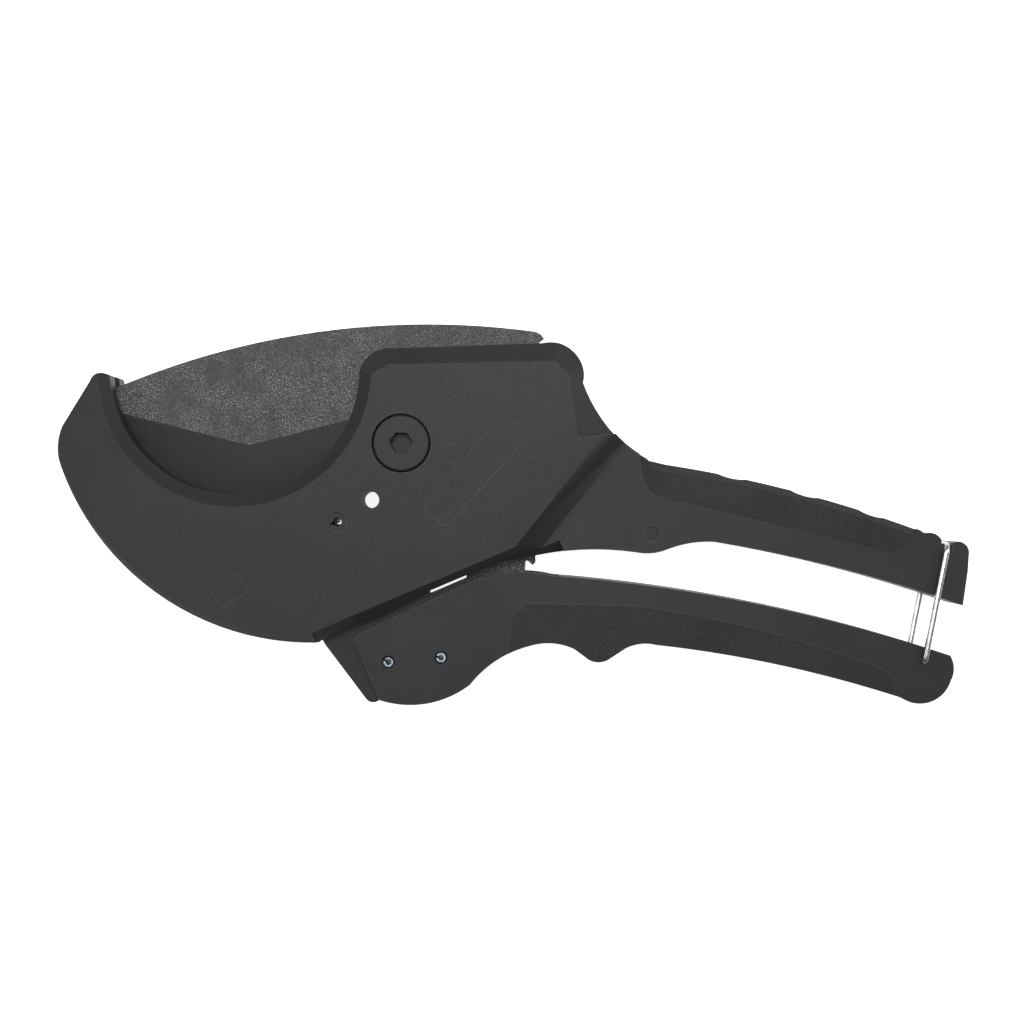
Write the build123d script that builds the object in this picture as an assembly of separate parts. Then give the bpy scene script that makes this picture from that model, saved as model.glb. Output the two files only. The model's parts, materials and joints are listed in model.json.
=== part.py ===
from build123d import *

import math
import os

# One-hand ratchet cutter for plastic pipe up to 75 mm, closed and latched.
# Everything is drawn about the blade's pivot: +X towards the handle ends, +Y towards the
# blade's back, Z = 0 on the blade's mid-plane.  The last step moves it all so that the
# origin is the bottom centre of the whole object, which lies on its far cheek.

# ---- driving dimensions, mm and degrees -------------------------------------------------
THROAT_R = 38.0              # half of the 75 mm pipe capacity, with a little room
THROAT_X, THROAT_Y = -50.8, 22.5
HEAD_HALF = 12.0             # half thickness of jaw and head
JAW_TIP_HALF = 11.0
JAW_CREASE_X = -82.5         # where the jaw starts to thin towards its tip
LEVER_HALF = 9.2             # half width of neck, handle and trigger
GRIP_HALF = 9.5              # half width of the two soft grips
NECK_RAMP = 6.5              # length of the slope from the head down to the neck
SLOT_HALF = 3.0              # half width of the blade slot
JAW_X, JAW_Y, JAW_R = -27.3, 20.54, 81.0
EDGE_BEVEL = 1.4             # bevel of the jaw's outer edge
THROAT_BEVEL_WIDE, THROAT_BEVEL_DEEP = 3.8, 2.6
CROWN_BEVEL_WIDE, CROWN_BEVEL_DEEP = 5.5, 3.4
FOOT_BEVEL_WIDE, FOOT_BEVEL_DEEP = 3.2, 2.6

BLADE_HALF = 1.5
BLADE_EDGE_HALF = 0.12       # half thickness left on the cutting edge
BEVEL_WIDTH = 17.5
BLADE_VERTEX = (-47.5, -18.3)
BLADE_HEEL = (-14.0, -9.65)
EDGE_LEFT_INWARD = (0.244, 0.970)
EDGE_RIGHT_INWARD = (-0.250, 0.968)
EDGE_LEFT_LENGTH, EDGE_RIGHT_LENGTH = 60.0, 37.5
EDGE_OVERCUT = 0.05
TOOTH_TIP_R = 54.6
TOOTH_ROOT_R = 52.3
TOOTH_PITCH = 5.0
SECTOR_START = -63.0
TOOTH_COUNT = 20
HEEL_R = 15.5
BLADE_SLOT_R = 55.7          # round part of the slot that the sector turns in
JAW_SLOT_R = 44.5            # slot in the jaw, about the throat's centre

BOLT_R = 4.0                 # M8
BOLT_HEAD_R = 8.65
BOLT_HEAD_T = 4.1
BOLT_HEAD_GAP = 0.35
BOLT_HEAD_SINK = 0.1
BOLT_END_Z = -11.6
BOLT_CHAMFER = 0.5
HEX_SOCKET = 6.0
HEX_SOCKET_DEPTH = 3.2
BUSHING_R = 6.0
NUT_ACROSS_FLATS = 13.0
NUT_T = 3.8
NUT_RECESS_R = 9.1
NUT_RECESS_DEPTH = 5.2
DISC_SPRING_T = 0.9
DISC_SPRING_LIFT = 0.3
DISC_SPRING_R = 8.2
WASHER_R = 12.0
FIT = 0.05                   # radial clearance of every running fit
SEAT = 0.02                  # radial clearance of a piece seated in its own body

STOP_X, STOP_Y = -19.4, -23.9
STOP_R = 2.25
STOP_RING_R = math.hypot(STOP_X, STOP_Y)
STOP_BORE_R = 1.3
STOP_RECESS_R, STOP_RECESS_DEPTH = 3.1, 0.9
STOP_SLOT_HALF = 2.7
STOP_SLOT_END = -42.4
HANG_X, HANG_Y = -9.1, -17.2
HANG_R = 2.5
HANG_RELIEF_R = 4.4          # the same hole in the far cheek
RECESS_DEPTH = 0.25
HEAD_RECESS = (22.5, -8.5, 38.0, 9.5, 48.6)     # x, y, length, width, angle
JAW_RECESS = (-52.0, -44.5, 9.5, 7.0, 34.0)

TRIGGER_X, TRIGGER_Y = -4.0, -66.5
DRIVE_X, DRIVE_Y = 12.0, -65.1
HOLD_X, HOLD_Y = 76.2, -27.6
ROLL_PIN_R = 1.5
ROLL_PIN_BORE_R = 0.8
ROLL_PIN_GAP = 0.5
COUNTERSINK = 0.6
HOLD_PIN_HALF = 8.3
DIMPLE_R, DIMPLE_DEPTH = 2.5, 0.9
LUG_HALF = 5.2
LUG_WEB_HALF = 2.6
SPRING_POCKET_R = 4.6
FORK_HALF = 5.6
FORK_OUTER_HALF = 9.8        # half width of the fork's front
FORK_RAMP_START, FORK_RAMP_END = 15.5, 31.0     # where it thins to the lever's width
PAWL_HALF = 2.2
PAWL_BOSS_R = 3.5
PAWL_NOSE_R = 54.95
DRIVE_NOSE_ANGLE = -54.0
HOLD_NOSE_ANGLE = -8.0

BAIL_X, BAIL_Y = 158.7, -66.3
BAIL_TOP_X, BAIL_TOP_Y = 165.7, -30.9
BAIL_WIRE_R = 1.0
BAIL_LEG_Z = 10.8
BAIL_BEND_R = 2.5
BAIL_FOOT_BEND_R = 1.4
BAIL_FOOT_HALF = 3.0         # how near the mid-plane the bail's two feet reach

COIL_WIRE_R = 0.5
COIL_MEAN_R = 2.9
HOLD_SPRING_R = 2.1
HOLD_SPRING_WIRE = 0.6
HOLD_SPRING_START = (68.85, -14.85)
HOLD_SPRING_DIR = (0.675, 0.738)
HOLD_SPRING_LENGTH = 5.8
HOLD_SPRING_CLEAR = 0.15

GRIP_CORE_HALF = 7.6         # half width of the hard core inside both grips
GRIP_FRONT = (72.5, -3.6)
HANDLE_X, HANDLE_Y, HANDLE_R = 29.99, -361.44, 358.3     # the round back of the handle
GRIP_BEVEL = 2.0
GRIP_UP = (0.26, 0.966)      # square to the back of the upper grip
GRIP_DIP_R, GRIP_DIP_DEPTH = 17.0, 0.65
GRIP_DIPS = ((99.8, -9.8), (123.0, -15.4), (144.1, -21.6))
TRIGGER_GRIP_FRONT = (32.4, -64.0)


# ---- drawing helpers --------------------------------------------------------------------
def to(x, y):
    """A straight stretch to (x, y)."""
    return ((x, y),)


def arc(mid_x, mid_y, x, y):
    """A round stretch through the middle point to (x, y)."""
    return ((mid_x, mid_y), (x, y))


def region(start, *moves):
    """The face inside a closed outline of straight and round stretches."""
    edges = []
    here = start
    for move in moves:
        edges.append(Line(here, move[0]) if len(move) == 1 else ThreePointArc(here, *move))
        here = move[-1]
    if here != start:
        edges.append(Line(here, start))
    return make_face(Curve() + edges)


def slab(face, half):
    """A plate of that outline, centred on the mid-plane."""
    return extrude(face, half, both=True)


def layer(face, low, high):
    """A plate of that outline between two heights."""
    return extrude(Pos(0, 0, low) * face, high - low, dir=(0, 0, 1))


def disc(x, y, radius):
    return Pos(x, y) * Circle(radius)


def tube(x, y, outer, inner, low, high):
    return layer(disc(x, y, outer), low, high) - layer(disc(x, y, inner), low, high)


def polar(radius, degrees):
    """A point at that radius and angle about the blade's pivot."""
    return (radius * math.cos(math.radians(degrees)), radius * math.sin(math.radians(degrees)))


def both_sides(shape):
    """The shape and its mirror image across the mid-plane."""
    return shape + mirror(shape, Plane.XY)


def along(start, unit, distance, across=0.0):
    """A point that far from start along a direction, and off to its left."""
    return (start[0] + unit[0] * distance - unit[1] * across,
            start[1] + unit[1] * distance + unit[0] * across)


# ---- body -------------------------------------------------------------------------------
def body_outline():
    return region(
        (-12.85, 20.6),
        arc(-10.2, 26.6, -3.0, 29.0),
        to(43.0, 30.6),
        arc(52.7, 27.8, 55.2, 18.4),
        arc(62.6, 5.6, 75.5, -5.0),
        to(80.5, -6.4),
        arc(120.0, -14.6, 157.6, -26.3),
        to(159.2, -27.4),
        arc(162.0, -27.4, 164.2, -29.2),
        to(164.4, -32.6),
        to(167.2, -32.6),
        to(167.5, -30.3),
        arc(170.8, -30.2, 172.6, -33.0),
        to(172.2, -39.0),
        to(170.7, -49.3),
        arc(133.0, -37.9, 95.6, -30.0),
        arc(87.5, -30.4, 81.0, -32.2),
        arc(76.5, -33.4, 71.5, -33.2),
        arc(56.0, -32.3, 42.0, -33.9),
        arc(30.5, -36.2, 19.9, -40.0),
        to(7.6, -45.2),
        to(-7.0, -52.6),
        to(-21.9, -58.4),
        to(-25.2, -60.5),
        arc(-69.2, -48.8, -103.0, -7.5),
        arc(-104.1, -1.3, -102.7, 5.2),
        to(-94.2, 18.9),
        arc(-91.5, 21.3, -88.75, 20.6),
        arc(THROAT_X, THROAT_Y - THROAT_R, -12.85, 20.6),
    )


def neck_cut():
    """What is cut off the near side beyond the slanting step between head and neck."""
    step = Plane((42.0, -22.0, 0), x_dir=(0.782, -0.624, 0), z_dir=(-0.624, -0.782, 0))
    above = HEAD_HALF + 1
    section = Polyline(
        (0, above), (0, HEAD_HALF), (NECK_RAMP, LEVER_HALF), (160, LEVER_HALF), (160, above),
        close=True)
    return extrude(step * make_face(section), 120, both=True)


def jaw_tip_cut():
    """What the jaw loses on the near side as it thins towards its tip."""
    above = HEAD_HALF + 1
    section = Polyline(
        (JAW_CREASE_X, above), (JAW_CREASE_X, HEAD_HALF), (-106, JAW_TIP_HALF), (-106, above),
        close=True)
    return extrude(Plane.XZ * make_face(section), 120, both=True)


def straight_bevel(start, end, wide, deep):
    """What a bevel takes off the near side, outside (left of) the line from start to end."""
    length = math.dist(start, end)
    unit = ((end[0] - start[0]) / length, (end[1] - start[1]) / length)
    plane = Plane((*start, 0), x_dir=(-unit[1], unit[0], 0), z_dir=(*unit, 0))
    out = 8.0
    above = HEAD_HALF + 1
    section = Polyline(
        (-wide, HEAD_HALF), (out, HEAD_HALF - deep - out * deep / wide), (out, above),
        (-wide, above), close=True)
    return extrude(plane * make_face(section), length)


def throat_bevel():
    """The cone that opens the throat's edge on the near side."""
    above = HEAD_HALF + 1
    inset = 2.0
    seat = HEAD_HALF - THROAT_BEVEL_DEEP * (1 + inset / THROAT_BEVEL_WIDE)
    section = Polyline(
        (0, seat), (THROAT_R - inset, seat), (THROAT_R + THROAT_BEVEL_WIDE, HEAD_HALF),
        (THROAT_R + THROAT_BEVEL_WIDE, above), (0, above), close=True)
    return Pos(THROAT_X, THROAT_Y) * revolve(make_face(Plane.XZ * section), Axis.Z)


def ring_bevel(x, y, radius, half, size):
    """The cone that breaks the near edge of a plate's round rim, all the way round."""
    spread = size + 3
    above = half + 2
    section = Polyline(
        (radius - size, half), (radius - size + spread, half - spread),
        (radius - size + spread, above), (radius - size, above), close=True)
    return Pos(x, y) * revolve(make_face(Plane.XZ * section), Axis.Z)


def jaw_bevel():
    """The bevel of the jaw's outer edge."""
    ring = ring_bevel(JAW_X, JAW_Y, JAW_R, HEAD_HALF, EDGE_BEVEL)
    return ring & Pos(-86, -40) * Box(120, 80, 4 * HEAD_HALF)


def head_bevels():
    """The broad bevels around the crown of the head, down its rear and along its foot."""
    crown_front, crown_rear = (-3.0, 29.0), (44.0, 30.6)
    front = straight_bevel((-15.0, 21.0), (2.0, 32.0), 3.6, 2.4)
    top = straight_bevel(along(crown_front, (-1, 0), 14), along(crown_rear, (1, 0), 14),
                         CROWN_BEVEL_WIDE, CROWN_BEVEL_DEEP)
    corner = straight_bevel((43.0, 33.6), (56.5, 20.0), 3.6, 2.6)
    rear = straight_bevel((53.4, 36.0), (57.8, 2.0), 4.4, 2.8)
    foot = straight_bevel((48.0, -29.2), (-26.0, -60.4), FOOT_BEVEL_WIDE, FOOT_BEVEL_DEEP)
    return front + top + corner + rear + foot


def rounded_casting():
    """The whole body before its slot and bores, with its bevels."""
    near_cuts = neck_cut() + jaw_tip_cut() + throat_bevel() + jaw_bevel() + head_bevels()
    return slab(body_outline(), HEAD_HALF) - both_sides(near_cuts)


def lug():
    """Mid-plane lug that carries the trigger's pin, with its heel, tongue and spring pockets."""
    outline = region(
        (-25.0, -59.0),
        to(-23.7, -61.5),
        to(-11.2, -78.1),
        arc(-9.4, -79.2, -7.2, -78.6),
        to(-5.8, -73.3),
        arc(1.4, -71.2, 3.2, -66.5),
        to(2.0, -59.0),
        to(9.0, -48.6),
        to(21.6, -43.2),
        to(21.6, -38.6),
        to(19.6, -38.6),
        to(19.6, -41.2),
        to(8.2, -46.1),
        to(7.4, -44.0),
        to(-1.0, -46.0),
    )
    leg_room = Pos(TRIGGER_X + 6, -66.0) * Rectangle(12, 18)
    pocket = disc(TRIGGER_X, TRIGGER_Y, SPRING_POCKET_R) + leg_room
    return slab(outline, LUG_HALF) - both_sides(layer(pocket, LUG_WEB_HALF, LUG_HALF + 1))


def blade_slot():
    """The slot between the cheeks: round for the sector, longer in the jaw and the neck."""
    sector_room = disc(0, 0, BLADE_SLOT_R)
    jaw_room = disc(THROAT_X, THROAT_Y, JAW_SLOT_R)
    pawl_room = region(
        (40.0, -20.0), to(46.0, 8.0), to(57.5, 6.0), to(64.0, 0.0), to(79.8, -25.0),
        arc(79.3, -30.3, 74.0, -31.1))
    room = slab(sector_room, SLOT_HALF)
    return room + slab(jaw_room, SLOT_HALF) + slab(pawl_room, SLOT_HALF)


def hold_spring_plane(distance):
    """The plane square to the holding pawl's spring, that far along it."""
    centre = along(HOLD_SPRING_START, HOLD_SPRING_DIR, distance)
    return Plane((*centre, 0), x_dir=(0, 0, 1), z_dir=(*HOLD_SPRING_DIR, 0))


def shallow_recess(x, y, length, width, angle):
    """A plain rounded recess in the near cheek, where a name would stand."""
    outline = Pos(x, y) * Rot(0, 0, angle) * RectangleRounded(length, width, width / 4)
    return layer(outline, HEAD_HALF - RECESS_DEPTH, HEAD_HALF + 1)


def body_bores():
    """Every hole and recess in the body, as one shape to cut."""
    outside = HEAD_HALF + 1
    bolt_recess = layer(disc(0, 0, BOLT_HEAD_R + BOLT_HEAD_GAP), HEAD_HALF - BOLT_HEAD_T, outside)
    nut_recess = layer(disc(0, 0, NUT_RECESS_R), -outside, NUT_RECESS_DEPTH - HEAD_HALF)
    bushing_bore = slab(disc(0, 0, BUSHING_R + SEAT), HEAD_HALF)
    hang_hole = slab(disc(HANG_X, HANG_Y, HANG_R), outside)
    hang_relief = layer(disc(HANG_X, HANG_Y, HANG_RELIEF_R), -outside, 0)
    stop_bore = slab(disc(STOP_X, STOP_Y, STOP_R + SEAT), outside)
    stop_recess = layer(disc(STOP_X, STOP_Y, STOP_RECESS_R), HEAD_HALF - STOP_RECESS_DEPTH, outside)
    trigger_bore = slab(disc(TRIGGER_X, TRIGGER_Y, ROLL_PIN_R + FIT), HEAD_HALF)
    hold_bore = slab(disc(HOLD_X, HOLD_Y, ROLL_PIN_R + SEAT), HOLD_PIN_HALF + SEAT)
    dimple = layer(disc(HOLD_X, HOLD_Y, DIMPLE_R), LEVER_HALF - DIMPLE_DEPTH, outside)
    spring_room = extrude(
        hold_spring_plane(0) * Circle(HOLD_SPRING_R + 0.3), HOLD_SPRING_LENGTH + 0.1)
    return (shallow_recess(*HEAD_RECESS) + shallow_recess(*JAW_RECESS) + bolt_recess
            + nut_recess + bushing_bore + hang_hole + hang_relief + stop_bore
            + both_sides(stop_recess) + trigger_bore + hold_bore + both_sides(dimple)
            + spring_room)


def body_frame():
    return rounded_casting() + lug() - blade_slot() - body_bores() - upper_grip_space()


# ---- upper grip -------------------------------------------------------------------------
def upper_grip_moves():
    """The grip's lower edge on the side of the handle, from its front to its rear end."""
    return (
        to(73.4, -9.6),
        arc(75.7, -14.0, 80.0, -16.4),
        arc(111.0, -23.7, 143.7, -31.8),
        arc(152.5, -31.6, 156.8, -26.2),
    )


def upper_grip_core():
    """The hard core of the handle inside the grip."""
    return region(
        (60.0, -60.0), to(60.0, 10.0), to(74.8, 10.0), to(74.8, -7.8), to(80.5, -8.9),
        arc(120.0, -17.1, 154.8, -28.0), to(154.8, -60.0))


def upper_grip_space():
    """What the body gives up to the grip."""
    space = region(GRIP_FRONT, *upper_grip_moves(), to(156.8, 10.0), to(GRIP_FRONT[0], 10.0))
    return slab(space, HEAD_HALF + 1) - slab(upper_grip_core(), GRIP_CORE_HALF)


def upper_grip():
    """Soft saddle over the back of the handle, with three shallow dips for the hand."""
    profile = region(
        GRIP_FRONT, *upper_grip_moves(), arc(120.0, -14.6, 80.5, -6.4), to(75.5, -5.2),
        arc(74.0, -4.5, *GRIP_FRONT))
    saddle = slab(profile, GRIP_HALF) - slab(upper_grip_core(), GRIP_CORE_HALF)
    for dip_x, dip_y in GRIP_DIPS:
        centre = along((dip_x, dip_y), GRIP_UP, GRIP_DIP_R - GRIP_DIP_DEPTH)
        saddle -= slab(disc(*centre, GRIP_DIP_R), HEAD_HALF)
    crown = ring_bevel(HANDLE_X, HANDLE_Y, HANDLE_R, GRIP_HALF, GRIP_BEVEL)
    crown &= Pos(120, 0) * Box(90, 80, 4 * HEAD_HALF)
    return saddle - both_sides(crown)


# ---- blade ------------------------------------------------------------------------------
def blade_outline():
    return region(
        (-91.5, 16.3),
        arc(-24.0, 35.1, 41.0, 34.8),
        to(42.6, 33.9),
        arc(*polar(TOOTH_TIP_R, -12.0), *polar(TOOTH_TIP_R, SECTOR_START)),
        to(*polar(HEEL_R + 1.0, SECTOR_START)),
        arc(*polar(HEEL_R, -105.0), *polar(HEEL_R, -142.0)),
        to(*BLADE_HEEL),
        to(*BLADE_VERTEX),
        to(-80.5, -10.0),
        arc(-88.9, 1.9, -91.5, 16.3),
    )


def tooth_gap(start_angle):
    """The gap beside one tooth: steep on its clockwise side, sloping on the other."""
    outside = TOOTH_TIP_R + 0.8
    rear = start_angle + TOOTH_PITCH
    return region(
        polar(outside, start_angle + 0.5),
        to(*polar(TOOTH_ROOT_R + 0.4, rear - 1.3)),
        arc(*polar(TOOTH_ROOT_R, rear - 0.6), *polar(TOOTH_ROOT_R + 0.4, rear)),
        to(*polar(outside, rear)),
    )


def stop_slot():
    """The round slot that runs against the stop pin when the blade is fully open."""
    ring = disc(0, 0, STOP_RING_R + STOP_SLOT_HALF) - disc(0, 0, STOP_RING_R - STOP_SLOT_HALF)
    sector = region((0, 0), to(*polar(50, SECTOR_START - 5)), to(*polar(50, STOP_SLOT_END)))
    end = disc(*polar(STOP_RING_R, STOP_SLOT_END), STOP_SLOT_HALF)
    return (ring & sector) + end


def bevel_cut(inward_x, inward_y, length):
    """What the grinding takes off the near side along one half of the V-shaped edge."""
    plane = Plane((*BLADE_VERTEX, 0), x_dir=(inward_x, inward_y, 0), z_dir=(inward_y, -inward_x, 0))
    slope = (BLADE_HALF - BLADE_EDGE_HALF) / BEVEL_WIDTH
    section = Polyline(
        (BEVEL_WIDTH, BLADE_HALF), (-EDGE_OVERCUT, BLADE_EDGE_HALF - EDGE_OVERCUT * slope),
        (-EDGE_OVERCUT, BLADE_HALF + 1), (BEVEL_WIDTH, BLADE_HALF + 1), close=True)
    return extrude(plane * make_face(section), length)


def blade():
    plate = slab(blade_outline() - disc(0, 0, BUSHING_R + FIT), BLADE_HALF)
    plate -= slab(stop_slot(), BLADE_HALF + 1)
    for index in range(TOOTH_COUNT):
        gap = tooth_gap(SECTOR_START + index * TOOTH_PITCH)
        plate -= slab(gap, BLADE_HALF + 1)
    left = bevel_cut(*EDGE_LEFT_INWARD, -EDGE_LEFT_LENGTH)
    right = bevel_cut(*EDGE_RIGHT_INWARD, EDGE_RIGHT_LENGTH)
    return plate - both_sides(left) - both_sides(right)


# ---- pivot ------------------------------------------------------------------------------
def hexagon(across_flats):
    return RegularPolygon(across_flats / math.sqrt(3), 6)


def pivot_bolt():
    seat = HEAD_HALF - BOLT_HEAD_T
    top = HEAD_HALF - BOLT_HEAD_SINK
    head = layer(disc(0, 0, BOLT_HEAD_R), seat, top)
    head = chamfer(head.edges().sort_by(Axis.Z)[-1], BOLT_CHAMFER)
    shank = layer(disc(0, 0, BOLT_R), BOLT_END_Z, seat)
    socket = layer(hexagon(HEX_SOCKET), top - HEX_SOCKET_DEPTH, top + 1)
    return head + shank - socket


def pivot_bushing():
    nut_floor = NUT_RECESS_DEPTH - HEAD_HALF
    return tube(0, 0, BUSHING_R, BOLT_R + FIT, nut_floor, HEAD_HALF - BOLT_HEAD_T)


def pivot_spring_washer():
    """Slightly conical disc spring between the far cheek and the nut."""
    top = NUT_RECESS_DEPTH - HEAD_HALF
    section = Polyline(
        (BOLT_R + 0.2, top - DISC_SPRING_LIFT), (DISC_SPRING_R, top),
        (DISC_SPRING_R, top - DISC_SPRING_T + DISC_SPRING_LIFT), (BOLT_R + 0.2, top - DISC_SPRING_T),
        close=True)
    return revolve(make_face(Plane.XZ * section), Axis.Z)


def pivot_nut():
    top = NUT_RECESS_DEPTH - HEAD_HALF - DISC_SPRING_T
    hexagonal = layer(hexagon(NUT_ACROSS_FLATS), top - NUT_T, top)
    return hexagonal - layer(disc(0, 0, BOLT_R + SEAT), top - NUT_T, top)


def blade_washers():
    low = BLADE_HALF + FIT
    return both_sides(tube(0, 0, WASHER_R, BUSHING_R + FIT, low, SLOT_HALF))


def split_pin(x, y, radius, bore_radius, half, gap_angle):
    """Hollow spring pin with its lengthwise gap at that angle."""
    pin = slab(disc(x, y, radius) - disc(x, y, bore_radius), half)
    gap = Pos(x, y) * Rot(0, 0, gap_angle) * Pos(radius, 0) * Box(2 * radius, ROLL_PIN_GAP, 4 * half)
    return pin - gap


def blade_stop_pin():
    return split_pin(STOP_X, STOP_Y, STOP_R, STOP_BORE_R, HEAD_HALF - STOP_RECESS_DEPTH, 200)


# ---- pawls and springs ------------------------------------------------------------------
def pawl(pin, nose, moves):
    """A pawl on its pin: moves are (distance, offset) pairs from the boss around the nose."""
    length = math.dist(pin, nose)
    unit = ((nose[0] - pin[0]) / length, (nose[1] - pin[1]) / length)
    points = [along(pin, unit, distance, across) for distance, across in moves]
    arm = region(points[0], *[to(*point) for point in points[1:]])
    plate = slab(arm, PAWL_HALF) + slab(disc(*pin, PAWL_BOSS_R), PAWL_HALF)
    return plate - slab(disc(*pin, ROLL_PIN_R + FIT), PAWL_HALF + 1)


DRIVE_PAWL_PROFILE = (
    (0, 3.4), (12, 3.2), (21, 1.1), (28.7, 0.0), (28.2, -2.2), (20, -3.6), (8, -3.5), (0, -3.4))
HOLD_PAWL_PROFILE = (
    (0, -3.4), (10, -3.3), (22, -2.4), (29.3, -0.1), (28.0, 2.4), (14, 4.0), (6, 3.9), (0, 3.4))


def drive_pawl():
    return pawl((DRIVE_X, DRIVE_Y), polar(PAWL_NOSE_R, DRIVE_NOSE_ANGLE), DRIVE_PAWL_PROFILE)


def holding_pawl():
    return pawl((HOLD_X, HOLD_Y), polar(PAWL_NOSE_R, HOLD_NOSE_ANGLE), HOLD_PAWL_PROFILE)


def holding_pawl_pin():
    return slab(disc(HOLD_X, HOLD_Y, ROLL_PIN_R), HOLD_PIN_HALF)


def holding_pawl_spring():
    """Envelope of the small compression spring behind the holding pawl."""
    start = hold_spring_plane(HOLD_SPRING_CLEAR)
    ring = Circle(HOLD_SPRING_R) - Circle(HOLD_SPRING_R - HOLD_SPRING_WIRE)
    return extrude(start * ring, HOLD_SPRING_LENGTH - HOLD_SPRING_CLEAR)


def spring_leg(start, end, low, high):
    """A straight leg of spring wire, lying between two heights."""
    length = math.dist(start, end)
    angle = math.degrees(math.atan2(end[1] - start[1], end[0] - start[0]))
    bar = Pos(length / 2, 0) * Rectangle(length, 2 * COIL_WIRE_R)
    return layer(Pos(*start) * Rot(0, 0, angle) * bar, low, high)


def coil(x, y, low, high):
    """Envelope of the turns of a torsion spring on a pin."""
    return tube(x, y, COIL_MEAN_R + COIL_WIRE_R, COIL_MEAN_R - COIL_WIRE_R, low, high)


def trigger_return_spring():
    """Double torsion spring: two coils beside the lug, each with its two legs."""
    low, high = LUG_WEB_HALF + 0.2, LUG_HALF - 0.1
    wire = 2 * COIL_WIRE_R
    turns = coil(TRIGGER_X, TRIGGER_Y, low, high)
    side = TRIGGER_X + COIL_MEAN_R
    upper = spring_leg((side, TRIGGER_Y), (side, -57.2), low, low + wire)
    lower = spring_leg((-3.0, TRIGGER_Y - COIL_MEAN_R), (6.0, -73.0), high - wire, high)
    return both_sides(turns + upper + lower)


def drive_pawl_spring():
    """Torsion spring on the drive pawl's pin, beside the pawl."""
    low, high = PAWL_HALF + 0.3, FORK_HALF - 0.3
    wire = 2 * COIL_WIRE_R
    turns = coil(DRIVE_X, DRIVE_Y, low, high)
    upper = spring_leg((DRIVE_X + 1.9, DRIVE_Y - 2.2), (24.5, -57.8), low, low + wire)
    lower = spring_leg((DRIVE_X, DRIVE_Y - COIL_MEAN_R), (20.5, -68.0), high - wire, high)
    return turns + upper + lower


# ---- trigger ----------------------------------------------------------------------------
def trigger_outline():
    return region(
        (-14.5, -59.8),
        to(-12.4, -57.6),
        to(16.5, -43.9),
        arc(30.0, -39.6, 46.3, -40.3),
        arc(105.0, -48.2, 166.9, -64.5),
        arc(168.0, -68.5, 167.0, -72.3),
        arc(161.3, -78.5, 152.0, -77.4),
        arc(114.0, -67.2, 77.4, -61.3),
        arc(72.5, -61.0, 68.2, -62.3),
        to(63.6, -65.3),
        arc(59.8, -66.6, 55.8, -65.0),
        to(52.4, -62.5),
        arc(45.5, -60.8, 39.0, -61.6),
        arc(28.9, -66.0, 20.8, -73.4),
        arc(8.8, -78.9, -6.6, -78.1),
    )


def fork_space():
    """The room between the fork's plates, above the web that joins them."""
    return slab(region(
        (-30.0, -40.0), to(48.0, -30.0), to(48.0, -53.0), to(38.0, -57.5), to(29.0, -61.6),
        to(21.0, -68.7), to(12.0, -73.7), to(-1.4, -75.0), to(-0.6, -90.0), to(-30.0, -90.0)),
        FORK_HALF)


def fork_thinning():
    """What the near side loses where the fork thins to the lever's width."""
    above = HEAD_HALF + 1
    section = Polyline(
        (FORK_RAMP_START, above), (FORK_RAMP_START, FORK_OUTER_HALF),
        (FORK_RAMP_END, LEVER_HALF), (200, LEVER_HALF), (200, above), close=True)
    return extrude(Plane.XZ * make_face(section), 120, both=True)


def trigger_grip_moves():
    """The trigger grip's upper edge, from its front end to its rear end."""
    return (
        to(33.2, -57.5),
        arc(34.4, -51.8, 38.0, -48.7),
        to(72.5, -49.6),
        arc(112.0, -57.6, 146.0, -68.6),
        arc(149.6, -72.0, 149.4, -76.6),
    )


def trigger_grip_space():
    """What the trigger gives up to its grip."""
    front_x, front_y = TRIGGER_GRIP_FRONT
    space = region(
        TRIGGER_GRIP_FRONT, *trigger_grip_moves(), to(149.4, -95.0), to(front_x, -95.0))
    return slab(space, HEAD_HALF) - slab(trigger_grip_core(), GRIP_CORE_HALF)


def trigger_grip_core():
    """The hard core of the trigger inside its grip."""
    return region(
        (20.0, -30.0), to(20.0, -95.0), to(50.5, -95.0), to(50.5, -58.8), to(77.0, -58.8),
        arc(112.0, -64.4, 147.0, -73.6), to(147.0, -30.0))


def trigger_grip():
    """Soft saddle under the lever, with the finger stop."""
    return slab(trigger_outline(), GRIP_HALF) & trigger_grip_space()


def countersink(x, y):
    """The small cone around the near end of a roll pin."""
    floor = FORK_OUTER_HALF - COUNTERSINK
    above = FORK_OUTER_HALF + 1
    section = Polyline(
        (0, floor), (ROLL_PIN_R, floor), (ROLL_PIN_R + COUNTERSINK + 1, above), (0, above),
        close=True)
    return Pos(x, y) * revolve(make_face(Plane.XZ * section), Axis.Z)


def trigger_lever():
    lever = slab(trigger_outline(), FORK_OUTER_HALF) - both_sides(fork_thinning())
    lever = lever - fork_space() - trigger_grip_space()
    for x, y in ((TRIGGER_X, TRIGGER_Y), (DRIVE_X, DRIVE_Y)):
        lever -= slab(disc(x, y, ROLL_PIN_R + SEAT), HEAD_HALF)
        lever -= both_sides(countersink(x, y))
    foot_bore = layer(disc(BAIL_X, BAIL_Y, BAIL_WIRE_R + FIT), BAIL_FOOT_HALF - 0.2, HEAD_HALF)
    return lever - both_sides(foot_bore)


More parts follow.
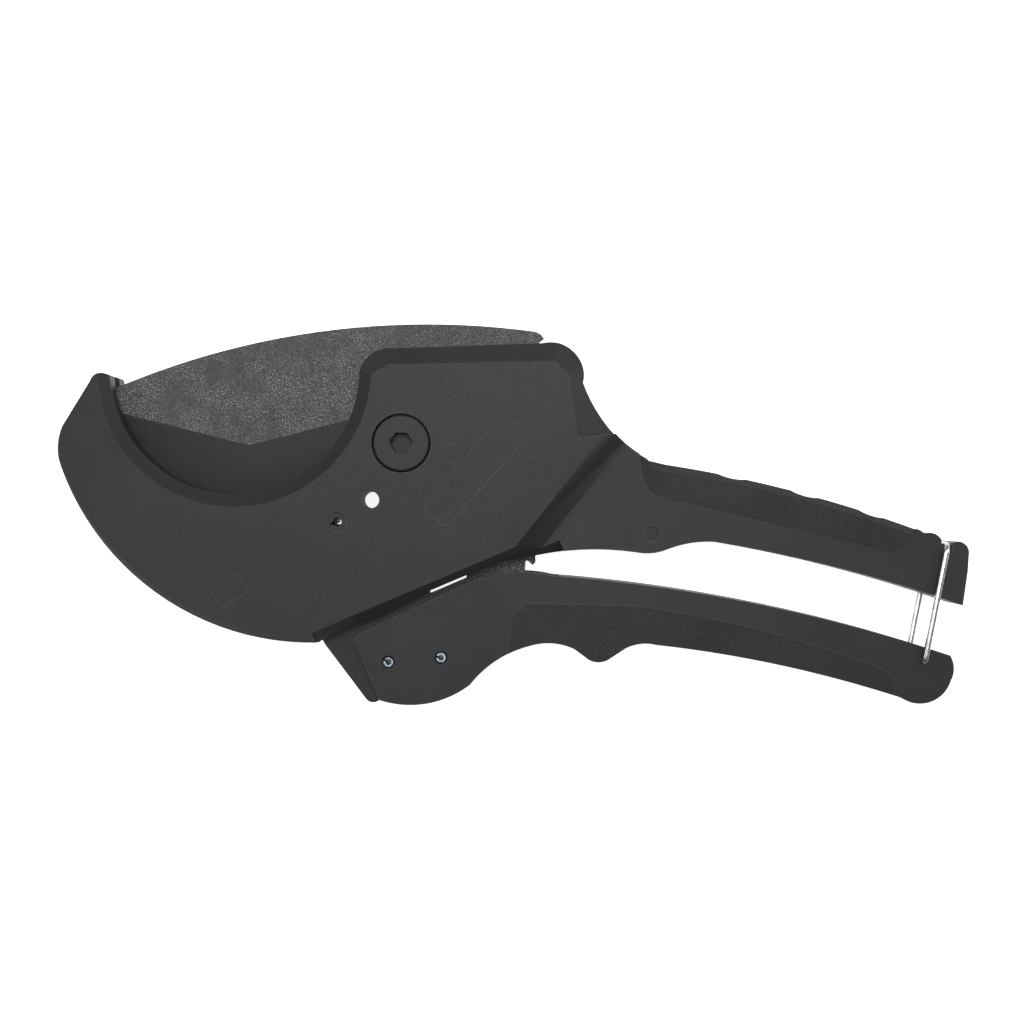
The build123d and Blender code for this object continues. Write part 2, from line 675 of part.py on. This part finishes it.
def lock_bail():
    """Bent wire: two feet in the lever's end, two legs, and a bar behind the handle."""
    path = FilletPolyline(
        (BAIL_X, BAIL_Y, BAIL_FOOT_HALF), (BAIL_X, BAIL_Y, BAIL_LEG_Z),
        (BAIL_TOP_X, BAIL_TOP_Y, BAIL_LEG_Z), (BAIL_TOP_X, BAIL_TOP_Y, -BAIL_LEG_Z),
        (BAIL_X, BAIL_Y, -BAIL_LEG_Z), (BAIL_X, BAIL_Y, -BAIL_FOOT_HALF),
        radius=[BAIL_FOOT_BEND_R, BAIL_BEND_R, BAIL_BEND_R, BAIL_FOOT_BEND_R])
    return sweep(Plane(path @ 0, z_dir=path % 0) * Circle(BAIL_WIRE_R), path)


# ---- assembly ---------------------------------------------------------------------------
NODES = {
    "body_frame": body_frame,
    "blade": blade,
    "pivot_bolt": pivot_bolt,
    "pivot_bushing": pivot_bushing,
    "pivot_spring_washer": pivot_spring_washer,
    "pivot_nut": pivot_nut,
    "blade_washers": blade_washers,
    "blade_stop_pin": blade_stop_pin,
    "upper_grip": upper_grip,
    "holding_pawl": holding_pawl,
    "holding_pawl_pin": holding_pawl_pin,
    "holding_pawl_spring": holding_pawl_spring,
    "trigger_lever": trigger_lever,
    "trigger_grip": trigger_grip,
    "trigger_pivot_pin": lambda: split_pin(
        TRIGGER_X, TRIGGER_Y, ROLL_PIN_R, ROLL_PIN_BORE_R, FORK_OUTER_HALF, 150),
    "trigger_return_spring": trigger_return_spring,
    "drive_pawl": drive_pawl,
    "drive_pawl_pin": lambda: split_pin(
        DRIVE_X, DRIVE_Y, ROLL_PIN_R, ROLL_PIN_BORE_R, FORK_OUTER_HALF, 170),
    "drive_pawl_spring": drive_pawl_spring,
    "lock_bail": lock_bail,
}


def main():
    os.makedirs("parts", exist_ok=True)
    shapes = {name: make() for name, make in NODES.items()}
    boxes = [shape.bounding_box() for shape in shapes.values()]
    middle_x = (min(box.min.X for box in boxes) + max(box.max.X for box in boxes)) / 2
    middle_y = (min(box.min.Y for box in boxes) + max(box.max.Y for box in boxes)) / 2
    bottom = min(box.min.Z for box in boxes)
    for name, shape in shapes.items():
        export_step(Pos(-middle_x, -middle_y, -bottom) * shape, f"parts/{name}.step")
    print("blade pivot at", -middle_x, -middle_y, -bottom)


main()
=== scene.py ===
import json
import math

import bmesh
import bpy
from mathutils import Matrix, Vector


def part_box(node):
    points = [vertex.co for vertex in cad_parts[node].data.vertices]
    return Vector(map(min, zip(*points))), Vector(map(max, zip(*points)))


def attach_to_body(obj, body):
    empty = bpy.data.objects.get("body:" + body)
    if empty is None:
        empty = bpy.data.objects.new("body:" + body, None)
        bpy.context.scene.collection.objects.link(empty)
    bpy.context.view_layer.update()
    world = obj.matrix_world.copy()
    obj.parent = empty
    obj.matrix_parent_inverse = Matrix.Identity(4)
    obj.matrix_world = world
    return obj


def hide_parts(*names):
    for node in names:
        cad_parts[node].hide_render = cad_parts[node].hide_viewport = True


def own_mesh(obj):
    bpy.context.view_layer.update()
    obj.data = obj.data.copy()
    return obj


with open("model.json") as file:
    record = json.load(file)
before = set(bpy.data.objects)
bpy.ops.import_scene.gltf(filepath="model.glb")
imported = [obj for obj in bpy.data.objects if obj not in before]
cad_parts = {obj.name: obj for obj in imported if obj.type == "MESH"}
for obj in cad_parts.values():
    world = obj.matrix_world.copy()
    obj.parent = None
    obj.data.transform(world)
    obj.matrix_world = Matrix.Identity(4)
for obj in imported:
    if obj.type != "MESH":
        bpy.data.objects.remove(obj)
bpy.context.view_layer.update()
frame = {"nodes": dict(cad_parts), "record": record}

MM = 0.001

# ---- places, read from the frame --------------------------------------------------------
JOINTS = {
    joint["name"]: Vector(joint["pos_m"]) for joint in frame["record"]["behaviour"]["joints"]}
PIVOT = JOINTS["blade_swing"]
MID_Z = PIVOT.z

# Places in mm from the blade's pivot, in the plane of the tool.
VIEW_CENTRE, VIEW_HEIGHT = (33.57, -20.87), 507.0
LENS, SENSOR = 57.55, 36.0
TRIGGER_PIN, DRIVE_PIN = (-4.0, -66.5), (12.0, -65.1)
COIL_MEAN, TORSION_WIRE = 2.9, 0.35
PAWL_SPRING_START, PAWL_SPRING_ALONG = Vector((68.95, -14.75, 0)), Vector((0.675, 0.738, 0))
PAWL_SPRING_LENGTH, PAWL_SPRING_MEAN, PAWL_SPRING_WIRE = 5.6, 1.75, 0.3
PAWL_SPRING_TURNS, PAWL_SPRING_KEEP = 5.5, 0.43
BAIL_FOOT, BAIL_TOP = (158.7, -66.3), (165.7, -30.9)
BAIL_FOOT_Z, BAIL_LEG_Z, BAIL_WIRE = 3.05, 10.8, 0.99
BAIL_FOOT_BEND, BAIL_TOP_BEND = 1.4, 2.5

SOFT_SIDE = (0.05, 0.30, 0.95)     # where most of the soft light comes from
FLOOR_HALF = 1.6
FLOOR_GLOW = 0.85


def at(x, y, z=0.0):
    """A point given in millimetres from the blade's pivot, on the mid-plane unless z is given."""
    return PIVOT + Vector((x, y, z)) * MM


# ---- camera, light and floor ------------------------------------------------------------
def make_camera():
    """Straight above the middle of the tool, as in a catalogue picture."""
    data = bpy.data.cameras.new("camera")
    data.lens = LENS
    data.sensor_width = SENSOR
    camera = bpy.data.objects.new("camera", data)
    camera.location = at(*VIEW_CENTRE, VIEW_HEIGHT)
    bpy.context.scene.collection.objects.link(camera)
    bpy.context.scene.camera = camera


def area_light(name, place, size, power, aim):
    data = bpy.data.lights.new(name, "AREA")
    data.shape = "DISK"
    data.size = size
    data.energy = power
    light = bpy.data.objects.new(name, data)
    light.location = Vector(place)
    light.rotation_euler = (Vector(aim) - Vector(place)).to_track_quat("-Z", "Y").to_euler()
    bpy.context.scene.collection.objects.link(light)


def make_world():
    """Soft surroundings: dim all round, brighter overhead."""
    world = bpy.data.worlds.new("studio")
    world.use_nodes = True
    tree = world.node_tree
    place = tree.nodes.new("ShaderNodeTexCoord")
    towards = tree.nodes.new("ShaderNodeVectorMath")
    towards.operation = "DOT_PRODUCT"
    towards.inputs[1].default_value = SOFT_SIDE
    ramp = tree.nodes.new("ShaderNodeValToRGB")
    ramp.color_ramp.elements[0].position = 0.20
    ramp.color_ramp.elements[0].color = (0.03, 0.03, 0.03, 1.0)
    ramp.color_ramp.elements[1].position = 1.0
    ramp.color_ramp.elements[1].color = (0.55, 0.55, 0.56, 1.0)
    tree.links.new(place.outputs["Generated"], towards.inputs[0])
    tree.links.new(towards.outputs["Value"], ramp.inputs["Fac"])
    tree.links.new(ramp.outputs["Color"], tree.nodes["Background"].inputs["Color"])
    bpy.context.scene.world = world


def make_light():
    area_light("key", (-0.05, 0.22, 0.95), 0.6, 5.0, (-0.03, -0.02, 0))
    area_light("left", (-0.75, 0.20, 0.60), 0.5, 1.4, (0, 0, 0))
    area_light("right", (0.80, 0.25, 0.50), 0.5, 2.0, (0, 0, 0))


def make_floor():
    """A pale table that glows a little, so that small gaps in the tool show it white."""
    mesh = bpy.data.meshes.new("floor")
    half = FLOOR_HALF
    corners = [(-half, -half, 0), (half, -half, 0), (half, half, 0), (-half, half, 0)]
    mesh.from_pydata(corners, [], [(0, 1, 2, 3)])
    floor = bpy.data.objects.new("floor", mesh)
    bpy.context.scene.collection.objects.link(floor)
    material = bpy.data.materials.new("floor")
    material.use_nodes = True
    shader = material.node_tree.nodes["Principled BSDF"]
    shader.inputs["Base Color"].default_value = (0.93, 0.93, 0.93, 1.0)
    shader.inputs["Roughness"].default_value = 0.9
    shader.inputs["Specular IOR Level"].default_value = 0.1
    shader.inputs["Emission Color"].default_value = (1.0, 1.0, 1.0, 1.0)
    shader.inputs["Emission Strength"].default_value = FLOOR_GLOW
    floor.data.materials.append(material)


# ---- material helpers -------------------------------------------------------------------
class Nodes:
    """A short way to write a node tree: each call adds a node and links its inputs."""

    def __init__(self, name):
        self.material = bpy.data.materials.new(name)
        self.material.use_nodes = True
        self.tree = self.material.node_tree
        self.shader = self.tree.nodes["Principled BSDF"]
        self.place = self.add("ShaderNodeTexCoord").outputs["Object"]

    def add(self, kind, settings=None, **inputs):
        node = self.tree.nodes.new(kind)
        for key, value in (settings or {}).items():
            setattr(node, key, value)
        for key, value in inputs.items():
            self.put(node, key.replace("_", " "), value)
        return node

    def put(self, node, key, value):
        socket = node.inputs[int(key)] if key.isdigit() else node.inputs[key]
        if isinstance(value, bpy.types.NodeSocket):
            self.tree.links.new(value, socket)
        else:
            socket.default_value = value

    def set(self, **inputs):
        for key, value in inputs.items():
            self.put(self.shader, key.replace("_", " "), value)

    def noise(self, scale, detail=3.0, rough=0.55):
        return self.add("ShaderNodeTexNoise", Vector=self.place, Scale=scale, Detail=detail,
                        Roughness=rough).outputs["Fac"]

    def ramp(self, value, *stops):
        """A colour ramp: each stop is (position, grey level or colour)."""
        node = self.add("ShaderNodeValToRGB", Fac=value)
        elements = node.color_ramp.elements
        while len(elements) > len(stops):
            elements.remove(elements[-1])
        while len(elements) < len(stops):
            elements.new(1.0)
        for element, (position, colour) in zip(elements, stops):
            element.position = position
            grey = isinstance(colour, (int, float))
            element.color = (colour, colour, colour, 1.0) if grey else (*colour, 1.0)
        return node.outputs["Color"]

    def mix(self, factor, first, second):
        node = self.add("ShaderNodeMix", {"data_type": "RGBA"})
        self.put(node, "0", factor)
        self.put(node, "6", first)
        self.put(node, "7", second)
        return node.outputs[2]

    def math(self, operation, first, second):
        node = self.add("ShaderNodeMath", {"operation": operation})
        self.put(node, "0", first)
        self.put(node, "1", second)
        return node.outputs[0]

    def edge(self, radius):
        """0 on flat surfaces, towards 1 on edges sharper than that radius."""
        soft = self.add("ShaderNodeBevel", {"samples": 6}, Radius=radius).outputs["Normal"]
        hard = self.add("ShaderNodeNewGeometry").outputs["Normal"]
        dot = self.add("ShaderNodeVectorMath", {"operation": "DOT_PRODUCT"})
        self.put(dot, "0", soft)
        self.put(dot, "1", hard)
        return self.math("SUBTRACT", 1.0, dot.outputs["Value"])

    def bump(self, height, strength, distance, normal=None):
        node = self.add("ShaderNodeBump", Height=height, Strength=strength, Distance=distance)
        if normal is not None:
            self.put(node, "Normal", normal)
        return node.outputs["Normal"]


# ---- materials --------------------------------------------------------------------------
def coated_casting(name, dark, light):
    """Satin black powder coat on a casting: fine grain, faint clouding, paler edges that are partly
    rubbed wear and partly painted highlight.
    """
    n = Nodes(name)
    clouds = n.noise(22.0, 4.0)
    grain = n.noise(2600.0, 2.0)
    fine = n.noise(6500.0, 2.0)
    tone = n.ramp(clouds, (0.3, dark), (0.7, light))
    speck = n.ramp(fine, (0.60, 0.0), (0.78, 1.0))
    tone = n.mix(n.math("MULTIPLY", speck, 0.10), tone, (0.10, 0.105, 0.11, 1))
    # Paler edges: partly rubbed wear, partly a painted highlight along every edge.
    wear_and_edge_highlight = n.ramp(n.math("MULTIPLY", n.edge(0.0006), n.noise(900.0, 3.0)), (0.008, 0.0), (0.07, 1.0))
    tone = n.mix(n.math("MULTIPLY", wear_and_edge_highlight, 0.65), tone, (0.085, 0.088, 0.088, 1))
    n.set(Base_Color=tone, Roughness=n.ramp(grain, (0.3, 0.42), (0.75, 0.58)), Metallic=0.0,
          Specular_IOR_Level=0.26)
    n.set(Normal=n.bump(grain, 0.22, 0.00012, n.bump(clouds, 0.1, 0.0006)))
    return n.material


def soft_rubber(name):
    """Matt moulded rubber with a fine leathery texture."""
    n = Nodes(name)
    cells = n.add("ShaderNodeTexVoronoi", {"feature": "SMOOTH_F1"}, Vector=n.place, Scale=1500.0)
    clouds = n.noise(35.0, 4.0)
    tone = n.ramp(clouds, (0.3, (0.0150, 0.0165, 0.0168)), (0.7, (0.0230, 0.0250, 0.0252)))
    n.set(Base_Color=tone, Roughness=n.ramp(n.noise(700.0), (0.3, 0.58), (0.75, 0.76)),
          Specular_IOR_Level=0.3)
    n.set(Normal=n.bump(cells.outputs["Distance"], 0.25, 0.00015, n.bump(clouds, 0.12, 0.0008)))
    return n.material


def hammered_blade():
    """Coated blade flat: mottled dark grey with fine pale flecks that are painted glints, in patches of
    more and less.
    """
    n = Nodes("hammered_blade_steel")
    grain = n.noise(1300.0, 6.0, 0.75)
    flecks = n.noise(2300.0, 3.0, 0.65)
    clouds = n.noise(42.0, 5.0, 0.6)
    patches = n.noise(110.0, 3.0)
    tone = n.ramp(grain, (0.38, (0.016, 0.017, 0.018)), (0.60, (0.085, 0.089, 0.091)))
    tone = n.mix(n.ramp(clouds, (0.38, 0.0), (0.66, 0.65)), tone, (0.028, 0.030, 0.030, 1))
    # Painted glints: fine pale flecks lighten the base colour, more in some patches than others.
    glint_mask = n.ramp(flecks, (0.56, 0.0), (0.64, 1.0))
    glint_amount = n.math("MULTIPLY", glint_mask, n.ramp(patches, (0.40, 0.12), (0.60, 0.95)))
    tone = n.mix(glint_amount, tone, (0.36, 0.37, 0.37, 1))
    n.set(Base_Color=tone, Metallic=0.25, Roughness=n.ramp(flecks, (0.3, 0.58), (0.7, 0.36)),
          Specular_IOR_Level=0.45)
    n.set(Normal=n.bump(grain, 0.6, 0.0003))
    return n.material


def ground_bevel():
    """The ground part of the blade: smooth, dark, with faint grinding lines across the edge."""
    n = Nodes("ground_blade_bevel")
    stretch = n.add("ShaderNodeMapping", Vector=n.place)
    stretch.inputs["Scale"].default_value = (900.0, 25.0, 25.0)
    lines = n.add("ShaderNodeTexNoise", Vector=stretch.outputs["Vector"], Scale=4.0,
                  Detail=4.0).outputs["Fac"]
    tone = n.ramp(lines, (0.3, (0.0125, 0.0145, 0.0138)), (0.75, (0.0200, 0.0230, 0.0218)))
    n.set(Base_Color=tone, Metallic=0.2, Roughness=n.ramp(lines, (0.3, 0.42), (0.75, 0.52)),
          Specular_IOR_Level=0.25)
    n.set(Normal=n.bump(lines, 0.12, 0.00005))
    return n.material


def plain_steel(name, dark, light, rough, metal=0.9):
    """Turned or drawn steel with fine streaks, faint stains and a painted highlight that lightens its
    edges.
    """
    n = Nodes(name)
    streaks = n.noise(2400.0, 3.0)
    stains = n.noise(420.0, 4.0)
    tone = n.ramp(stains, (0.3, dark), (0.7, light))
    # Painted highlight: edges are lightened towards pale steel.
    tone = n.mix(n.ramp(n.edge(0.0003), (0.02, 0.0), (0.3, 0.6)), tone, (0.75, 0.77, 0.80, 1))
    n.set(Base_Color=tone, Metallic=metal, Roughness=n.ramp(streaks, (0.3, rough), (0.7, rough + 0.14)))
    n.set(Normal=n.bump(streaks, 0.15, 0.00006))
    return n.material


def bright_zinc():
    n = Nodes("bright_zinc_wire")
    streaks = n.noise(1700.0, 3.0)
    tone = n.ramp(n.noise(300.0, 3.0), (0.3, (0.42, 0.43, 0.44)), (0.7, (0.74, 0.74, 0.75)))
    n.set(Base_Color=tone, Metallic=1.0, Roughness=n.ramp(streaks, (0.3, 0.16), (0.7, 0.30)))
    n.set(Normal=n.bump(streaks, 0.1, 0.00005))
    return n.material


CASTING = coated_casting("coated_casting", (0.0165, 0.0178, 0.0188), (0.0235, 0.025, 0.0262))
LEVER = coated_casting("coated_lever", (0.0145, 0.0160, 0.0165), (0.0215, 0.0232, 0.0240))
BLACK_STEEL = coated_casting("black_steel", (0.0160, 0.0170, 0.0172), (0.0230, 0.0245, 0.0250))
RUBBER = soft_rubber("moulded_rubber")
BLADE_FLAT = hammered_blade()
BLADE_BEVEL = ground_bevel()
PIN_STEEL = plain_steel("pin_steel", (0.10, 0.14, 0.17), (0.36, 0.42, 0.47), 0.34)
SPRING_STEEL = plain_steel("spring_steel", (0.25, 0.26, 0.28), (0.42, 0.43, 0.46), 0.32)
PAWL_STEEL = plain_steel("pawl_steel", (0.16, 0.165, 0.17), (0.30, 0.31, 0.32), 0.38)
BRONZE = plain_steel("sintered_bronze", (0.35, 0.23, 0.10), (0.52, 0.37, 0.18), 0.45)
ZINC = bright_zinc()


# ---- pieces -----------------------------------------------------------------------------
def clean_copy(node, name):
    """A copy of a CAD node's mesh with its split points joined and its flat faces merged."""
    source = frame["nodes"][node]
    mesh = source.data.copy()
    mesh.name = name
    mesh.materials.clear()
    copy = bpy.data.objects.new(name, mesh)
    bpy.context.scene.collection.objects.link(copy)
    shape = bmesh.new()
    shape.from_mesh(mesh)
    bmesh.ops.remove_doubles(shape, verts=shape.verts, dist=2e-6)
    bmesh.ops.dissolve_limit(
        shape, angle_limit=math.radians(0.6), verts=shape.verts, edges=shape.edges)
    shape.to_mesh(mesh)
    shape.free()
    return copy


def soften(piece, width, segments=3):
    """Rounds a piece's edges, and keeps its flat faces flat in the shading."""
    shade(piece, 180.0)
    bevel = piece.modifiers.new("rounded_edges", "BEVEL")
    bevel.width = width * MM
    bevel.segments = segments
    bevel.limit_method = "ANGLE"
    bevel.angle_limit = math.radians(24.0)
    bevel.miter_outer = "MITER_ARC"
    weighted = piece.modifiers.new("flat_faces", "WEIGHTED_NORMAL")
    weighted.weight = 100
    weighted.keep_sharp = False
    bake_modifiers(piece)


def bake_modifiers(piece):
    """Turns a piece's modifiers into its mesh."""
    view = bpy.context.evaluated_depsgraph_get()
    view.update()
    mesh = bpy.data.meshes.new_from_object(piece.evaluated_get(view))
    piece.modifiers.clear()
    piece.data = mesh


def shade(piece, angle):
    """Smooth shading, with creases where the surface turns by more than the angle."""
    mesh = piece.data
    mesh.polygons.foreach_set("use_smooth", [True] * len(mesh.polygons))
    mesh.set_sharp_from_angle(angle=math.radians(angle))


def restyle(node, name, material, body, slot, width, **more):
    """A softened copy of a CAD node that takes its place."""
    piece = clean_copy(node, name)
    piece.data.materials.append(material)
    soften(piece, width, **more)
    attach(piece, node, body)


def make_blade():
    piece = clean_copy("blade", "blade_plate")
    piece.data.materials.append(BLADE_FLAT)
    piece.data.materials.append(BLADE_BEVEL)
    soften(piece, 0.18, segments=2)
    flat_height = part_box("blade")[1].z - MID_Z
    for face in piece.data.polygons:
        height = abs(face.center.z - MID_Z)
        slanted = 0.9 < abs(face.normal.z) and height < flat_height - 0.02 * MM
        face.material_index = 1 if slanted else 0
    attach(piece, "blade", "blade")


# ---- wire pieces ------------------------------------------------------------------------
def rounded_path(corners, radii, steps=10):
    """A path through the corners with each inner corner rounded to its radius."""
    points = [corners[0]]
    for before, corner, after, radius in zip(corners, corners[1:], corners[2:], radii):
        back = (before - corner).normalized()
        ahead = (after - corner).normalized()
        half = back.angle(ahead) / 2
        centre = corner + (back + ahead).normalized() * radius / math.sin(half)
        first = corner + back * radius / math.tan(half) - centre
        last = corner + ahead * radius / math.tan(half) - centre
        turn = first.angle(last)
        for step in range(steps + 1):
            share = step / steps
            spoke = first * math.sin((1 - share) * turn) + last * math.sin(share * turn)
            points.append(centre + spoke / math.sin(turn))
    points.append(corners[-1])
    return points


def wire(name, paths, radius, material, sides=14):
    """Round wire swept along each path, with slightly rounded cut ends, as one object."""
    shape = bmesh.new()
    for path in paths:
        rings = []
        side = None
        places = [path[0], *path, path[-1]]
        sizes = [0.6, *[1.0] * len(path), 0.6]
        inset = 0.35 * radius
        first = (path[1] - path[0]).normalized()
        last = (path[-1] - path[-2]).normalized()
        places[1] = path[0] + first * inset
        places[-2] = path[-1] - last * inset
        for index, place in enumerate(places):
            before = places[max(index - 1, 0)]
            after = places[min(index + 1, len(places) - 1)]
            ahead = (after - before).normalized()
            if side is None:
                side = ahead.orthogonal().normalized()
            side = (side - ahead * side.dot(ahead)).normalized()
            across = ahead.cross(side)
            ring = []
            for corner in range(sides):
                turn = 2 * math.pi * corner / sides
                spoke = side * math.cos(turn) + across * math.sin(turn)
                ring.append(shape.verts.new(place + spoke * radius * sizes[index]))
            rings.append(ring)
        for ring, following in zip(rings, rings[1:]):
            for corner in range(sides):
                beside = (corner + 1) % sides
                shape.faces.new((ring[corner], ring[beside], following[beside], following[corner]))
        shape.faces.new(list(reversed(rings[0])))
        shape.faces.new(rings[-1])
    mesh = bpy.data.meshes.new(name)
    shape.to_mesh(mesh)
    shape.free()
    mesh.materials.append(material)
    piece = bpy.data.objects.new(name, mesh)
    bpy.context.scene.collection.objects.link(piece)
    shade(piece, 50.0)
    return piece


def torsion_path(centre, start, end, low, high, turns, mean):
    """A torsion spring's wire: a leg in, the turns (clockwise seen from above), a leg out."""
    def tangent(point, side):
        reach = Vector(point) - Vector(centre)
        return math.atan2(reach.y, reach.x) + side * math.acos(mean / reach.length)

    leg_in = tangent(start, -1)
    leg_out = tangent(end, 1)
    swept = (leg_in - leg_out) % (2 * math.pi) + 2 * math.pi * turns
    steps = 16 * (turns + 1)
    points = [at(*start, low)]
    for step in range(steps + 1):
        share = step / steps
        angle = leg_in - swept * share
        points.append(at(centre[0] + mean * math.cos(angle), centre[1] + mean * math.sin(angle),
                         low + (high - low) * share))
    points.append(at(*end, high))
    return points


def mirrored(path):
    """The same path on the other side of the mid-plane."""
    return [Vector((point.x, point.y, 2 * MID_Z - point.z)) for point in path]


def make_springs():
    turned = torsion_path(TRIGGER_PIN, (-1.1, -57.3), (5.8, -72.8), 3.15, 4.7, 1, COIL_MEAN)
    piece = wire("trigger_spring_wire", [turned, mirrored(turned)], TORSION_WIRE * MM, SPRING_STEEL)
    attach(piece, "trigger_return_spring", "frame")

    turned = torsion_path(DRIVE_PIN, (24.3, -58.0), (20.4, -68.0), 2.85, 4.9, 2, COIL_MEAN)
    piece = wire("drive_pawl_spring_wire", [turned], TORSION_WIRE * MM, SPRING_STEEL)
    attach(piece, "drive_pawl_spring", "trigger")
    make_pawl_spring()


def make_pawl_spring():
    """The holding pawl's compression spring, with its turns a little closer in the middle than at its
    ends.
    """
    start, along = PAWL_SPRING_START, PAWL_SPRING_ALONG
    side = Vector((-along.y, along.x, 0))
    coil, mean, steps = PAWL_SPRING_WIRE, PAWL_SPRING_MEAN, 120
    path = []
    for step in range(steps + 1):
        share = step / steps
        angle = 2 * math.pi * PAWL_SPRING_TURNS * share
        eased = share + 0.055 * math.sin(2 * math.pi * (0.5 - share))
        rise = coil + (PAWL_SPRING_LENGTH - 2 * coil) * eased
        spoke = side * math.cos(angle) * mean + Vector((0, 0, 1)) * math.sin(angle) * mean
        path.append(PIVOT + (start + along * rise + spoke) * MM)
    piece = wire("pawl_spring_wire", [path], coil * MM, SPRING_STEEL, sides=10)
    attach(piece, "holding_pawl_spring", "frame")
    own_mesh(piece)


def make_bail():
    """Two feet in the lever's end, two legs, and a bar behind the handle."""
    corners = [
        at(*BAIL_FOOT, BAIL_FOOT_Z), at(*BAIL_FOOT, BAIL_LEG_Z), at(*BAIL_TOP, BAIL_LEG_Z),
        at(*BAIL_TOP, -BAIL_LEG_Z), at(*BAIL_FOOT, -BAIL_LEG_Z), at(*BAIL_FOOT, -BAIL_FOOT_Z)]
    foot, top = BAIL_FOOT_BEND * MM, BAIL_TOP_BEND * MM
    piece = wire("bail_wire", [rounded_path(corners, [foot, top, top, foot])], BAIL_WIRE * MM,
                 ZINC, sides=20)
    attach(piece, "lock_bail", "bail")


def attach(piece, node, body):
    """The piece rides the body and takes the CAD node's place."""
    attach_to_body(piece, body)
    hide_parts(node)


def main():
    make_camera()
    make_world()
    make_light()
    make_floor()
    restyle("body_frame", "body_casting", CASTING, "frame", "casting", 0.7)
    restyle("upper_grip", "upper_grip_rubber", RUBBER, "frame", "soft_grip", 1.0)
    restyle("trigger_lever", "trigger_casting", LEVER, "trigger", "casting", 0.6)
    restyle("trigger_grip", "trigger_grip_rubber", RUBBER, "trigger", "soft_grip", 1.3, segments=4)
    restyle("pivot_bolt", "bolt", BLACK_STEEL, "frame", "black_steel", 0.25)
    restyle("pivot_nut", "nut", PAWL_STEEL, "frame", "bright_steel", 0.3)
    restyle("blade_stop_pin", "stop_pin", BLACK_STEEL, "frame", "black_steel", 0.2)
    restyle("trigger_pivot_pin", "trigger_pin", PIN_STEEL, "trigger", "bright_steel", 0.15)
    restyle("drive_pawl_pin", "pawl_pin", PIN_STEEL, "trigger", "bright_steel", 0.15)
    restyle("holding_pawl_pin", "holding_pin", BLACK_STEEL, "frame", "black_steel", 0.2)
    restyle("drive_pawl", "drive_pawl_plate", PAWL_STEEL, "drive_pawl", "bright_steel", 0.3)
    restyle("holding_pawl", "holding_pawl_plate", PAWL_STEEL, "holding_pawl", "bright_steel", 0.3)
    make_blade()
    make_springs()
    make_bail()
    finishes = {
        "pivot_bushing": BRONZE, "blade_washers": BRONZE, "pivot_spring_washer": SPRING_STEEL,
    }
    for node, material in finishes.items():
        mesh = frame["nodes"][node].data
        mesh.materials.clear()
        mesh.materials.append(material)


bpy.context.scene.view_settings.view_transform = "Standard"
main()
